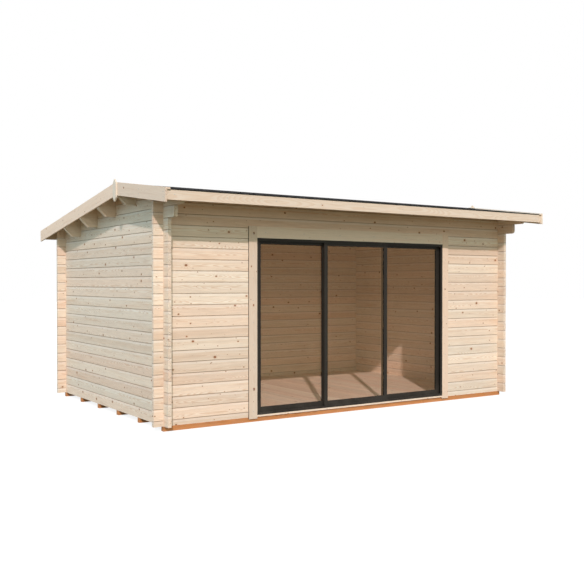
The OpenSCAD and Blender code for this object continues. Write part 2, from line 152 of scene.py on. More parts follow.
away = calc(knots, "DIVIDE", calc(knots, "SQRT", off_squared), radius)
absent = calc(knots, "MULTIPLY", calc(knots, "GREATER_THAN", chance, given["Share"]), no_knot)
knots.links.new(calc(knots, "ADD", away, absent), gives["Away"])
knots.links.new(radius, gives["Radius"])
knots.links.new(tone, gives["Tone"])

# Softwood all the way through: yearly rings round a pith that wanders beside the board, pushed
# aside by the knots, with fine fibres, slow streaks along the grain and fine cracks in its ends.
softwood, given, gives = new_group(
    "softwood",
    [("Along", "Float", 0), ("Across", "Float", 0), ("Depth", "Float", 0), ("Board", "Float", 0),
     ("End", "Float", 0), ("Width", "Float", 0.13), ("Ring", "Float", 0.0035), ("Knots", "Float", 0.5),
     ("Largest Knot", "Float", 0.013), ("Contrast", "Float", 1.0), ("Edge", "Float", 9.0),
     ("Pale", "Color", (0.8, 0.6, 0.4, 1)), ("Late", "Color", (0.6, 0.35, 0.2, 1)),
     ("Knot", "Color", (0.3, 0.12, 0.05, 1)), ("Rim", "Color", (0.12, 0.05, 0.02, 1))],
    [("Color", "Color"), ("Roughness", "Float"), ("Height", "Float")])
step = partial(calc, softwood)
along, across, depth, board = (given[name] for name in ("Along", "Across", "Depth", "Board"))
first, second, third = draw(softwood, board, 3.3)
shade, warmth, busy = draw(softwood, board, 8.9)


def stretched(along_scale, across_scale, shift=0.0):
    """Board coordinates with the grain drawn out: noise read from them is long and narrow."""
    drawn_out = step("MULTIPLY", along, along_scale)
    moved = step("MULTIPLY_ADD", across, across_scale, step("MULTIPLY", board, shift))
    return point(softwood, drawn_out, moved, step("MULTIPLY", depth, across_scale))


# Where the pith runs: beside the board, on one of its two faces, and never quite straight
wander_at = point(softwood, step("MULTIPLY", along, 0.8), step("MULTIPLY", board, 5.13))
wander = parts(softwood, cloud(softwood, wander_at, 1.0, flat=True)[1])
pith_across = step("ADD", step("MULTIPLY_ADD", first, 0.10, -0.05),
                   step("MULTIPLY_ADD", wander[0], 0.12, -0.06))
pith_face = step("MULTIPLY_ADD", step("ROUND", third), 2.0, -1.0)
pith_depth = step("ADD", step("MULTIPLY", pith_face, step("MULTIPLY_ADD", second, 0.05, 0.02)),
                  step("MULTIPLY_ADD", wander[1], 0.07, -0.035))
from_pith = [step("SUBTRACT", across, pith_across), step("SUBTRACT", depth, pith_depth)]
pushed = add(softwood, "VectorMath", {0: point(softwood, *from_pith)}, operation="LENGTH").outputs["Value"]

# Two sizes of knots, more of them on some boards than on others
fray = cloud(softwood, stretched(260.0, 260.0), 2.0)[0]
halo, knot_mask, rim_mask = 0.0, 0.0, 0.0
crowd = step("MULTIPLY", given["Knots"], step("MULTIPLY_ADD", busy, 1.3, 0.35))
for spacing, smallest, largest, share, start in ((0.47, 0.0045, given["Largest Knot"], 1.0, 0.0),
                                                 (0.17, 0.0016, 0.0046, 0.85, 57.0)):
    feeds = {name: given[name] for name in ("Along", "Across", "Depth", "Board", "Width")}
    feeds.update({"Spacing": spacing, "Smallest": smallest, "Largest": largest, "Draw": start,
                  "Share": step("MULTIPLY", crowd, share)})
    away, radius, tone = add(softwood, "Group", feeds, node_tree=knots).outputs
    bulge = step("EXPONENT", step("MULTIPLY", step("POWER", away, 2.0), -0.16))
    pushed = step("MULTIPLY_ADD", bulge, step("MULTIPLY", radius, 1.6), pushed)
    frayed = step("MULTIPLY_ADD", step("SUBTRACT", fray, 0.5), 0.55, away)
    halo = step("MAXIMUM", halo, ease(softwood, away, 0.9, 2.7, 1.0, 0.0))
    knot_mask = step("MAXIMUM", knot_mask, ease(softwood, frayed, 0.88, 1.10, 1.0, 0.0))
    edge = ease(softwood, step("ABSOLUTE", step("SUBTRACT", frayed, 0.88)), 0.0, 0.26, 1.0, 0.0)
    rim_mask = step("MAXIMUM", rim_mask, step("MULTIPLY", edge, ease(softwood, tone, 0.15, 0.65)))

# Rings: each goes slowly from pale early wood to darker late wood, and back at once
waver = cloud(softwood, stretched(6.0, 70.0))[0]
pushed = step("ADD", pushed, step("MULTIPLY_ADD", waver, 0.0030, -0.0015))
closeness = step("MULTIPLY_ADD", second, 0.6, 0.7)
ring = step("FRACT", step("MULTIPLY", step("DIVIDE", pushed, given["Ring"]), closeness))
late = step("SUBTRACT", ease(softwood, ring, 0.30, 0.88), ease(softwood, ring, 0.90, 1.0))
fibre = cloud(softwood, stretched(16.0, 800.0), 2.0, 0.6)[0]
streak = cloud(softwood, stretched(1.7, 34.0, 9.3), 3.0, 0.55)[0]
mottle = cloud(softwood, stretched(5.0, 62.0, 4.1), 3.0, 0.6)[0]
heart = ease(softwood, pushed, 0.018, 0.05, 1.0, 0.0)
layers = [(late, 0.50), (heart, 0.20), (ease(softwood, streak, 0.52, 0.80), 0.50), (halo, 0.55)]
wood = given["Pale"]
for mask, share in layers:
    darker = step("MULTIPLY", mask, step("MULTIPLY", given["Contrast"], share))
    wood = blend_in(softwood, darker, wood, given["Late"])

# Boards differ in shade, and in how reddish they are
lightness = step("ADD", step("MULTIPLY_ADD", shade, 0.15, 0.91), step("MULTIPLY_ADD", fibre, 0.12, -0.06))
patchy = step("MULTIPLY", step("SUBTRACT", mottle, 0.5), step("MULTIPLY", given["Contrast"], 0.24))
lightness = step("MULTIPLY", lightness, step("ADD", patchy, 1.0))
green = step("MULTIPLY", lightness, step("MULTIPLY_ADD", warmth, -0.11, 1.04))
blue = step("MULTIPLY", green, step("MULTIPLY_ADD", warmth, -0.05, 1.02))
wood = blend_in(softwood, 1.0, wood, point(softwood, lightness, green, blue), "MULTIPLY")

# Along a board's edges the joints are darkened with painted shade and some dirt, the upper one most, and
# # below its top edge a paler band on the planed face is a painted highlight
joint_shade_width, joint_shade_low, joint_shade_high = 0.0055, 0.22, 0.82
painted_joint_shade = ease(softwood, step("SUBTRACT", step("ABSOLUTE", across), given["Edge"]), 0.0, joint_shade_width)
painted_joint_shade = step("MULTIPLY", painted_joint_shade, ease(softwood, across, -0.01, 0.01, joint_shade_low, joint_shade_high))
below_edge = step("SUBTRACT", across, given["Edge"])
# Painted highlight: a paler band just below a board's top edge
painted_highlight = step("MULTIPLY", ease(softwood, below_edge, -0.030, -0.018),
              ease(softwood, below_edge, -0.004, 0.0, 1.0, 0.0))
wood = blend_in(softwood, step("MULTIPLY", painted_highlight, 0.20), wood, (1, 1, 1, 1))
# Painted shade, with some dirt, along the joints, in the Rim colour
wood = blend_in(softwood, painted_joint_shade, wood, given["Rim"])
wood = blend_in(softwood, step("MULTIPLY", knot_mask, 0.92), wood, given["Knot"])
wood = blend_in(softwood, step("MULTIPLY", rim_mask, 0.85), wood, given["Rim"])

# Ends: fine cracks that run out from the pith
angle = step("ARCTAN2", from_pith[1], from_pith[0])
ray_at = point(softwood, step("MULTIPLY", angle, 4.0), step("MULTIPLY", board, 7.7))
ray = cloud(softwood, ray_at, 2.0, flat=True)[0]
crack = step("MULTIPLY", ease(softwood, step("ABSOLUTE", step("SUBTRACT", ray, 0.5)), 0.0, 0.010, 1.0, 0.0),
             step("MULTIPLY", given["End"], ease(softwood, pushed, 0.006, 0.022)))
wood = blend_in(softwood, step("MULTIPLY", crack, 0.75), wood, given["Rim"])
rough = step("SUBTRACT", step("MULTIPLY_ADD", fibre, 0.16, 0.60), step("MULTIPLY", late, 0.07))
rough = step("SUBTRACT", rough, step("MULTIPLY", knot_mask, 0.12))
late_ridge, fibre_ridge, crack_deep = 0.00007, 0.00009, 0.0003
relief = step("ADD", step("MULTIPLY", late, late_ridge), step("MULTIPLY", fibre, fibre_ridge))
sunk = step("MAXIMUM", rim_mask, step("MULTIPLY", crack, 3.0))
relief = step("SUBTRACT", relief, step("MULTIPLY", sunk, crack_deep))
softwood.links.new(wood, gives["Color"])
softwood.links.new(rough, gives["Roughness"])
softwood.links.new(relief, gives["Height"])

# Dust that settles on what faces up, and the splashes of rain low on the walls
dust_colour = (0.40, 0.37, 0.32, 1)
splash_low, splash_high = 0.03, 0.35
dust, given, gives = new_group(
    "dust", [("Place", "Vector", (0, 0, 0)), ("Up", "Float", 0)], [("Mask", "Float")])
step = partial(calc, dust)
drift = cloud(dust, scaled(dust, given["Place"], 6.0), 4.0, 0.6)[0]
height = parts(dust, given["Place"])[2]
lying = step("MULTIPLY", ease(dust, given["Up"], 0.35, 0.9), ease(dust, drift, 0.05, 0.95))
splash = step("MULTIPLY", ease(dust, height, splash_low, splash_high, 0.3, 0.0),
              ease(dust, drift, 0.38, 0.62))
dust.links.new(step("MAXIMUM", lying, splash), gives["Mask"])


def new_material(name, **plain):
    """A material with one Principled shader, its plain values set on the shader's own sockets."""
    made = bpy.data.materials.new(name)
    made.use_nodes = True
    shader = made.node_tree.nodes["Principled BSDF"]
    for socket, value in plain.items():
        shader.inputs[socket.replace("_", " ")].default_value = value
    return made, made.node_tree, shader


def dusted(tree, shader, colour, rough, amount, spot):
    """Colour and roughness fed to a shader, with dust over them where it settles."""
    up = parts(tree, add(tree, "NewGeometry").outputs["True Normal"])[2]
    mask = add(tree, "Group", {"Place": spot, "Up": up}, node_tree=dust).outputs[0]
    share = calc(tree, "MULTIPLY", mask, amount)
    tree.links.new(blend_in(tree, share, colour, dust_colour), shader.inputs["Base Color"])
    tree.links.new(calc(tree, "MULTIPLY_ADD", share, 0.3, rough), shader.inputs["Roughness"])


def bumped(tree, shader, height, strength):
    """Fine relief, from a height in metres."""
    bump = add(tree, "Bump", {"Height": height, "Distance": 1.0, "Strength": strength})
    tree.links.new(bump.outputs[0], shader.inputs["Normal"])


def timber(name, lie, axis, width, pale, late, knot, rim, knots=0.5, contrast=1.0, edge=9.0):
    """Softwood whose grain runs along axis (0, 1 or 2): lie gives, from the tree and X, Y and Z, the place
    across the board from its middle, the place through it, and the board's number. The painted shade and
    dirt in the joints start at edge, a distance from the board's middle."""
    made, tree, shader = new_material(name, Specular_IOR_Level=0.12)
    spot = add(tree, "TexCoord").outputs["Object"]
    facing = parts(tree, add(tree, "NewGeometry").outputs["True Normal"])
    along, across, depth, board = lie(tree, *parts(tree, spot)[:3])
    end = ease(tree, calc(tree, "ABSOLUTE", facing[axis]), 0.6, 0.9)
    wood = add(tree, "Group", {
        "Along": along, "Across": across, "Depth": depth, "Board": board, "End": end, "Width": width,
        "Knots": knots, "Contrast": contrast, "Edge": edge, "Pale": (*pale, 1), "Late": (*late, 1),
        "Knot": (*knot, 1), "Rim": (*rim, 1)}, node_tree=softwood)
    dusted(tree, shader, wood.outputs["Color"], wood.outputs["Roughness"], 0.22, spot)
    bumped(tree, shader, wood.outputs["Height"], 0.8)
    return made


def wear(nodes, material):
    """The named construction nodes take this material in every slot."""
    for name in nodes:
        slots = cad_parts[name].data.materials
        slots.clear()
        slots.append(material)


def side_by_side(tree, place, foot, width, start=0.0):
    """Distance from a board's middle and the board's number, for boards of one width from foot on: the number
    is the floor of the place in widths, plus start."""
    widths = calc(tree, "ADD", calc(tree, "DIVIDE", calc(tree, "SUBTRACT", place, foot), width), start)
    number = calc(tree, "FLOOR", widths)
    off_middle = calc(tree, "SUBTRACT", calc(tree, "SUBTRACT", widths, number), 0.5)
    return calc(tree, "MULTIPLY", off_middle, width), number


def cross_logs(tree, x, y, z):
    """Logs along X: the front wall's right-hand logs and the back wall's have numbers of their own."""
    across, number = side_by_side(tree, z, wall_foot, log_h, 0.5)
    behind = calc(tree, "GREATER_THAN", y, house_middle)
    below_top = calc(tree, "LESS_THAN", z, door_top)
    right = calc(tree, "MULTIPLY", calc(tree, "GREATER_THAN", x, 0.0), below_top)
    right = calc(tree, "MULTIPLY", right, calc(tree, "LESS_THAN", y, house_middle))
    board = calc(tree, "MULTIPLY_ADD", behind, 50.0, calc(tree, "MULTIPLY_ADD", right, 100.0, number))
    depth = calc(tree, "SUBTRACT", y, calc(tree, "MULTIPLY", behind, back_face - front_face))
    return x, across, calc(tree, "SUBTRACT", depth, front_face + log_t / 2), board


def side_logs(tree, x, y, z):
    """Logs along Y of the left and the right wall."""
    across, number = side_by_side(tree, z, wall_foot, log_h)
    right = calc(tree, "GREATER_THAN", x, 0.0)
    depth = calc(tree, "SUBTRACT", calc(tree, "ABSOLUTE", x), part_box("right_wall")[1].x - log_t / 2)
    return y, across, depth, calc(tree, "MULTIPLY_ADD", right, 50.0, calc(tree, "ADD", number, 213.0))


# A board's number decides its rings, knots and shade, so each kind of board starts at another one.
# The painted shade and dirt in the joints start 6 mm in from a log's edge.
log_edge = log_h / 2 - 0.006
spruce = dict(pale=(0.87, 0.765, 0.635), late=(0.70, 0.50, 0.335), knot=(0.30, 0.115, 0.045),
              rim=(0.11, 0.042, 0.018))
wear(["front_wall_left", "front_wall_right", "front_wall_top", "back_wall"],
     timber("front_logs", cross_logs, 0, log_h, contrast=1.25, edge=log_edge, **spruce))
wear(["left_wall", "right_wall"],
     timber("side_logs", side_logs, 1, log_h, contrast=1.25, edge=log_edge, **spruce))

# ---------------------------------------------------------------------------------------------
# Foundation joists
# Six flat bars of pressure-treated timber, stained brown by the treatment, that lie on the ground
# and carry the bottom logs and the floor.
joist_low, joist_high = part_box("foundation_joists")
joist_w, joist_count = 0.06, 6
joist_step = (joist_high.y - joist_low.y - joist_w) / (joist_count - 1)


def joist_lie(tree, x, y, z):
    """Bars along X, numbered from the front."""
    steps = calc(tree, "DIVIDE", calc(tree, "SUBTRACT", y, joist_low.y + joist_w / 2), joist_step)
    number = calc(tree, "ROUND", steps)
    across = calc(tree, "MULTIPLY", calc(tree, "SUBTRACT", steps, number), joist_step)
    return x, across, calc(tree, "SUBTRACT", z, 0.029), calc(tree, "ADD", number, 300.0)


wear(["foundation_joists"],
     timber("joist_wood", joist_lie, 0, joist_w, pale=(0.70, 0.32, 0.125), late=(0.32, 0.125, 0.045),
            knot=(0.22, 0.075, 0.03), rim=(0.08, 0.03, 0.015), knots=0.6, contrast=1.2))

# ---------------------------------------------------------------------------------------------
# Floor boards
# Tongue-and-groove spruce boards, nailed through their tongues to the joists and laid from front to
# back. Their top edges are eased, which draws a fine line along every joint.
floor_low, floor_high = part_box("floor_boards")
floor_count = 47
floor_pitch = (floor_high.x - floor_low.x) / floor_count


def closed_mesh(name, corners, faces):
    """An object from corner points and lists of corner numbers. The faces of a closed shape point outwards
    when the sum of corner . (next x one after) over their triangles is above zero; otherwise all are turned
    round."""
    corners = np.asarray(corners, float).reshape(-1, 3)
    swept = 0.0
    for group in faces:
        ring = corners[group]
        for k in range(1, group.shape[1] - 1):
            swept += np.einsum("ij,ij->", ring[:, 0], np.cross(ring[:, k], ring[:, k + 1]))
    if swept < 0:
        faces = [group[:, ::-1] for group in faces]
    mesh = bpy.data.meshes.new(name)
    mesh.from_pydata(corners.tolist(), [], [face for group in faces for face in group.tolist()])
    made = bpy.data.objects.new(name, mesh)
    bpy.context.scene.collection.objects.link(made)
    return made


def prism_faces(corners):
    """Faces between two like outlines of so many corners, and the outlines' own caps."""
    index = np.arange(2 * corners).reshape(2, -1)
    after = np.roll(index, -1, axis=1)
    return [np.stack([index[0], after[0], after[1], index[1]], axis=-1), index[:1, ::-1], index[1:]]


def carried_boards(name, profile, starts, y_ends, foot):
    """Boards side by side in one mesh: the profile's corners (across, up) start at each of the starts along
    X and are carried in a straight line from one of y_ends to the other, on the heights in foot, and
    capped."""
    corners, boards = len(profile), len(starts)
    co = np.zeros((boards, 2, corners, 3))
    co[..., 0] = np.asarray(starts)[:, None, None] + profile[:, 0]
    co[..., 1] = np.asarray(y_ends)[None, :, None]
    co[..., 2] = np.asarray(foot)[None, :, None] + profile[:, 1]
    index = np.arange(boards * 2 * corners).reshape(boards, 2, corners)
    following = np.roll(index, -1, axis=2)
    sides = np.stack([index[:, 0], following[:, 0], following[:, 1], index[:, 1]], axis=-1).reshape(-1, 4)
    return closed_mesh(name, co, [sides, index[:, 0, ::-1], index[:, 1]])


floor_t = floor_high.z - floor_low.z
joint, eased = 0.0002, 0.0012
floor_profile = np.array([[joint, 0], [joint, floor_t - eased], [joint + eased, floor_t],
                          [floor_pitch - joint - eased, floor_t], [floor_pitch - joint, floor_t - eased],
                          [floor_pitch - joint, 0]])
floor = carried_boards("floor_planks", floor_profile, floor_low.x + floor_pitch * np.arange(floor_count),
                       (floor_low.y, floor_high.y), (floor_low.z, floor_low.z))


def floor_lie(tree, x, y, z):
    """Boards along Y, numbered from the left."""
    across, number = side_by_side(tree, x, floor_low.x, floor_pitch)
    return y, across, calc(tree, "SUBTRACT", z, floor_low.z + 0.01), calc(tree, "ADD", number, 400.0)


floor_edge = floor_pitch / 2 - 0.004
floor.data.materials.append(timber("floor_wood", floor_lie, 1, floor_pitch, edge=floor_edge, **spruce))
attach(floor, "house")
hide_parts("floor_boards")

# ---------------------------------------------------------------------------------------------
# Purlins and skirting
# Solid spruce purlins on edge carry the roof boards from gable to gable, their ends cut to a slant
# under the overhang. The skirting is a small board nailed round the floor.
purlin_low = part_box("roof_purlins")[0]
purlin_pitch, purlin_t, purlin_middle = 0.66, 0.07, 2.6
ridge_y = sum(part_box("ridge_purlin")[i].y for i in (0, 1)) / 2
inner_wall_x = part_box("floor_boards")[1].x


def purlin_lie(tree, x, y, z):
    """Bars along X, numbered by their place between front and back."""
    number = calc(tree, "ROUND", calc(tree, "MULTIPLY", y, 1 / purlin_pitch))
    depth = calc(tree, "PINGPONG", y, purlin_t)
    return x, calc(tree, "SUBTRACT", z, purlin_middle), depth, calc(tree, "ADD", number, 500.0)


def skirting_lie(tree, x, y, z):
    """Small boards that run along X at the front and the back, and along Y at the sides."""
    at_side = calc(tree, "GREATER_THAN", calc(tree, "ABSOLUTE", x), inner_wall_x - 0.0155)
    along = add(tree, "Mix", {0: at_side, 2: x, 3: y}, data_type="FLOAT").outputs[0]
    depth = add(tree, "Mix", {0: at_side, 2: y, 3: x}, data_type="FLOAT").outputs[0]
    beyond = calc(tree, "ADD", calc(tree, "GREATER_THAN", depth, 0.0), 600.0)
    board = calc(tree, "MULTIPLY_ADD", at_side, 3.0, beyond)
    return along, calc(tree, "SUBTRACT", z, floor_high.z + 0.02), calc(tree, "PINGPONG", depth, 0.1), board


sawn = dict(spruce, pale=(0.79, 0.685, 0.555))
wear(["ridge_purlin", "roof_purlins"], timber("purlin_wood", purlin_lie, 0, 0.2, **sawn))
wear(["skirting_boards"], timber("skirting_wood", skirting_lie, 0, 0.04, **spruce))

# ---------------------------------------------------------------------------------------------
# Roof boards
# Tongue-and-groove spruce boards nailed across the purlins from ridge to eave, with their bevelled
# side down, so that a V-joint shows between them from below.
deck_front, deck_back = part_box("roof_deck_front"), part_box("roof_deck_back")
roof_count = 62
roof_pitch = (deck_front[1].x - deck_front[0].x) / roof_count
bevel = 0.003
fall = math.tan(math.radians(7.9))


def roof_boards(name, low, high, ridge_first):
    """One slope's boards between two corners: the underside falls from the ridge to the eave."""
    drop = fall * (high.y - low.y)
    thick = high.z - low.z - drop
    edge = roof_pitch - joint
    profile = np.array([[joint, bevel], [joint, thick], [edge, thick], [edge, bevel], [edge - bevel, 0],
                        [joint + bevel, 0]])
    foot = (low.z + drop, low.z) if ridge_first else (low.z, low.z + drop)
    return carried_boards(name, profile, low.x + roof_pitch * np.arange(roof_count), (low.y, high.y), foot)


def roof_lie(tree, x, y, z):
    """Boards along Y, numbered from the left, the front slope's apart from the back slope's."""
    across, number = side_by_side(tree, x, deck_front[0].x, roof_pitch)
    behind = calc(tree, "GREATER_THAN", y, ridge_y)
    board = calc(tree, "MULTIPLY_ADD", behind, 80.0, calc(tree, "ADD", number, 700.0))
    return y, across, calc(tree, "SUBTRACT", z, 2.7), board


roof_wood = timber("roof_boards", roof_lie, 1, roof_pitch, edge=roof_pitch / 2 - 0.005, **spruce)
for name, low, high, ridge_first, node in (("roof_boards_front", *deck_front, False, "roof_deck_front"),
                                           ("roof_boards_back", *deck_back, True, "roof_deck_back")):
    boards = roof_boards(name, low, high, ridge_first)
    boards.data.materials.append(roof_wood)
    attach(boards, "house")
    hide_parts(node)

# ---------------------------------------------------------------------------------------------
# Fascias, barge boards, verge strips and finials
# Planed boards screwed on round the roof's edge. The barge boards meet under the finial at the
# ridge, and the verge strips hold down the membrane along them.
# A darker, warmer copy of the spruce for the fascias and side trims: partly their own pinker tone, partly
# painted shade, as these boards catch more sky than the walls
planed_with_painted_shade = dict(spruce, pale=(0.80, 0.675, 0.545))
fascia_h, barge_h, finial_w = 0.112, 0.15, 0.09


def eave_lie(tree, x, y, z):
    """The two fascias along X."""
    behind = calc(tree, "GREATER_THAN", y, 0.0)
    front_foot, back_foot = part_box("front_fascia")[0].z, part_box("back_fascia")[0].z
    middle = calc(tree, "MULTIPLY_ADD", behind, back_foot - front_foot, front_foot + fascia_h / 2)
    across, depth = calc(tree, "SUBTRACT", z, middle), calc(tree, "PINGPONG", y, 0.2)
    return x, across, depth, calc(tree, "ADD", behind, 800.0)


def verge_lie(tree, x, y, z):
    """Boards that run down both slopes from the ridge at both gables."""
    from_ridge = calc(tree, "SUBTRACT", y, ridge_y)
    across = calc(tree, "MULTIPLY_ADD", calc(tree, "ABSOLUTE", from_ridge), fall,
                  calc(tree, "SUBTRACT", z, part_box("left_barge_boards")[1].z - 0.078))
    quarter = calc(tree, "MULTIPLY_ADD", calc(tree, "GREATER_THAN", from_ridge, 0.0), 2.0,
                   calc(tree, "GREATER_THAN", x, 0.0))
    return y, across, calc(tree, "PINGPONG", x, 0.3), calc(tree, "ADD", quarter, 820.0)


def upright_lie(tree, x, y, z):
    """A board with its grain upright, seen from the gable."""
    return z, calc(tree, "SUBTRACT", y, ridge_y), calc(tree, "PINGPONG", x, 0.3), calc(
        tree, "ADD", calc(tree, "GREATER_THAN", x, 0.0), 840.0)


wear(["front_fascia", "back_fascia"],
     timber("eave_boards", eave_lie, 0, fascia_h, knots=0.2, contrast=0.8, **planed_with_painted_shade))
verge_wood = timber("verge_boards", verge_lie, 1, barge_h, knots=0.3, contrast=0.7, **spruce)
wear(["left_barge_boards", "right_barge_boards", "left_verge_strips", "right_verge_strips"], verge_wood)
wear(["left_finial", "right_finial"],
     timber("finial_wood", upright_lie, 2, finial_w, knots=0.2, contrast=0.6, **spruce))

# ---------------------------------------------------------------------------------------------
# Roofing membrane
# A black rubber sheet glued to the roof boards, turned down a little over the fascias.


def rubber(name, black, settled):
    """Dull black rubber with a slow swell, a fine grain and dust."""
    made, tree, shader = new_material(name, Specular_IOR_Level=0.04)
    spot = add(tree, "TexCoord").outputs["Object"]
    swell = cloud(tree, scaled(tree, spot, 3.0), 3.0)[0]
    grain = cloud(tree, scaled(tree, spot, 420.0))[0]
    tone = calc(tree, "MULTIPLY_ADD", swell, 0.3, 0.85)
    colour = blend_in(tree, 1.0, (*black, 1), point(tree, tone, tone, tone), "MULTIPLY")
    dusted(tree, shader, colour, calc(tree, "MULTIPLY_ADD", grain, 0.16, 0.78), settled, spot)
    relief = calc(tree, "MULTIPLY_ADD", swell, 0.004, calc(tree, "MULTIPLY", grain, 0.0002))
    bumped(tree, shader, relief, 0.6)
    return made


sheeting = rubber("membrane", (0.009, 0.009, 0.010), 0.040)
wear(["roofing_front", "roofing_back"], sheeting)

# The sheet comes in strips that lap down both slopes, and a band covers the ridge
roofing_front, roofing_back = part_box("roofing_front"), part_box("roofing_back")
lap_t, lap_w, lap_count, band_w = 0.0025, 0.09, 4, 0.12
lap_pitch = (roofing_front[1].x - roofing_front[0].x) / lap_count
lap_starts = roofing_front[0].x + lap_pitch * (np.arange(lap_count - 1) + 1)
lap_thin = 0.002
lap_profile = np.array([[0, 0], [lap_thin, lap_t], [lap_w - lap_thin, lap_t], [lap_w, 0]])


def sheet_top(y):
    """Height of the membrane's upper side at depth y: it falls from the ridge on both sides."""
    return roofing_front[1].z - fall * abs(y - ridge_y)


laps = [carried_boards("membrane_laps_" + side, lap_profile, lap_starts, ends, [sheet_top(y) for y in ends])
        for side, ends in (("front", (roofing_front[0].y + 0.006, ridge_y)),
                           ("back", (ridge_y, roofing_back[1].y - 0.006)))]
band_t, band_thin = 2 * lap_t, 0.003
band_line = np.array([[-band_w, 0], [-band_w + band_thin, band_t], [0, band_t], [band_w - band_thin, band_t],
                      [band_w, 0], [0, 0]])
band_ends = np.array([roofing_front[0].x + 0.001, roofing_front[1].x - 0.001])
band = np.zeros((2, len(band_line), 3))
band[..., 0] = band_ends[:, None]
band[..., 1] = ridge_y + band_line[:, 0]
band[..., 2] = sheet_top(ridge_y + band_line[:, 0]) + band_line[:, 1]
laps.append(closed_mesh("membrane_ridge_band", band, prism_faces(len(band_line))))
lap_rubber = rubber("membrane_laps", (0.015, 0.015, 0.016), 0.055)
for piece in laps:
    piece.data.materials.append(lap_rubber)
    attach(piece, "house")

# ---------------------------------------------------------------------------------------------
# Door trims and sill board
# Planed boards screwed to the wall round the door frame, and a thin board under its sill.
trim_w = 0.112


def side_trim_lie(tree, x, y, z):
    """The upright trims, left and right of the door."""
    right = calc(tree, "GREATER_THAN", x, 0.0)
    left_edge, right_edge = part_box("left_door_trim")[0].x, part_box("right_door_trim")[0].x
    middle = calc(tree, "MULTIPLY_ADD", right, right_edge - left_edge, left_edge + trim_w / 2)
    across, depth = calc(tree, "SUBTRACT", x, middle), calc(tree, "PINGPONG", y, 0.3)
    return z, across, depth, calc(tree, "ADD", right, 860.0)


def head_trim_lie(tree, x, y, z):
    """The head trim above the door and the sill board below it."""
    above = calc(tree, "GREATER_THAN", z, 1.0)
    sill_foot, head_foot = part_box("door_sill_board")[0].z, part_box("head_door_trim")[0].z
    across = calc(tree, "SUBTRACT", z, calc(tree, "MULTIPLY_ADD", above, head_foot - sill_foot, sill_foot))
    return x, across, calc(tree, "PINGPONG", y, 0.3), calc(tree, "ADD", above, 870.0)


wear(["left_door_trim", "right_door_trim"],
     timber("door_side_trim", side_trim_lie, 2, trim_w, knots=0.35, contrast=0.5, **planed_with_painted_shade))
wear(["head_door_trim", "door_sill_board"],
     timber("door_head_trim", head_trim_lie, 0, 0.1, knots=0.7, contrast=0.9, **spruce))

# Black foam strips close the logs' joints along the side trims' outer edges
foam_out, foam_deep, foam_gap = 0.002, 0.008, 0.0003
trim_boxes = {name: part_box(name + "_door_trim") for name in ("left", "right", "head")}
foam = rubber("foam_strip", (0.014, 0.014, 0.013), 0.1)
for name, side in (("left", -1), ("right", 1)):
    low, high = trim_boxes[name]
    edge_x = low.x if side < 0 else high.x
    outline = np.array([[foam_gap, 0], [foam_out - 0.0006, 0], [foam_out, -0.0008],
                        [foam_out, -foam_deep + 0.0008], [foam_out - 0.0006, -foam_deep],
                        [foam_gap, -foam_deep]])
    co = np.zeros((2, len(outline), 3))
    co[..., 0] = edge_x + side * outline[:, 0]
    co[..., 1] = high.y - 0.0004 + outline[:, 1]
    co[..., 2] = np.array([low.z, high.z])[:, None]
    piece = closed_mesh(name + "_trim_foam", co, prism_faces(len(outline)))
    piece.data.materials.append(foam)
    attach(piece, "house")

# ---------------------------------------------------------------------------------------------
# Door frame and leaves
# Aluminium sections, powder-coated anthracite. The middle leaf rolls on the sill's rail in front of
# the two fixed ones.


def powder_coat(name, colour, gloss):
    """Coated metal: a fine orange-peel skin, faint smears and a little dust."""
    made, tree, shader = new_material(name, Specular_IOR_Level=0.12)
    spot = add(tree, "TexCoord").outputs["Object"]
    peel = cloud(tree, scaled(tree, spot, 700.0))[0]
    smear = cloud(tree, scaled(tree, spot, 5.0), 4.0, 0.6)[0]
    paler = tuple(c * 1.25 + 0.004 for c in colour)
    coat = blend_in(tree, ease(tree, smear, 0.45, 0.75, 0.0, 0.5), (*colour, 1), (*paler, 1))
    dusted(tree, shader, coat, calc(tree, "MULTIPLY_ADD", smear, 0.2, gloss), 0.16, spot)
    bumped(tree, shader, calc(tree, "MULTIPLY", peel, 0.00012), 0.7)
    return made


anthracite = powder_coat("door_metal", (0.029, 0.026, 0.0215), 0.36)
wear(["door_frame", "left_fixed_leaf", "sliding_leaf", "right_fixed_leaf"], anthracite)

# ---------------------------------------------------------------------------------------------
# Glass
# Float glass tinted bronze in the mass, held in the leaves by rubber seals.
bronze, bronze_mirror = (0.98, 0.93, 0.89), (0.98, 0.62, 0.33, 1)
both_faces = 1.5


def pane(name):
    """Thin tinted glass: light goes straight through both faces, which take half the tint each, and the
    outer one mirrors for both."""
    made, tree, shader = new_material(name, Base_Color=bronze_mirror, Metallic=1.0, Roughness=0.0)
    clear = add(tree, "BsdfTransparent", {"Color": (*(math.sqrt(c) for c in bronze), 1)})
    outside = calc(tree, "SUBTRACT", 1.0, add(tree, "NewGeometry").outputs["Backfacing"])
    mirrored = calc(tree, "MULTIPLY", add(tree, "Fresnel", {"IOR": 1.5}).outputs[0], both_faces)
    share = add(tree, "Math", {0: mirrored, 1: outside}, operation="MULTIPLY", use_clamp=True).outputs[0]
    both = add(tree, "MixShader", {0: share, 1: clear.outputs[0], 2: shader.outputs[0]})
    tree.links.new(both.outputs[0], tree.nodes["Material Output"].inputs["Surface"])
    return made


wear(["left_fixed_glass", "sliding_glass", "right_fixed_glass"], pane("door_glass"))

# ---------------------------------------------------------------------------------------------
# Glazing beads and seals
# Clipped aluminium beads, mitred at the corners, hold each pane from both sides of its leaf, and
# a black rubber seal lies between bead and glass.
half_leaf, let_in = 0.014, 0.010
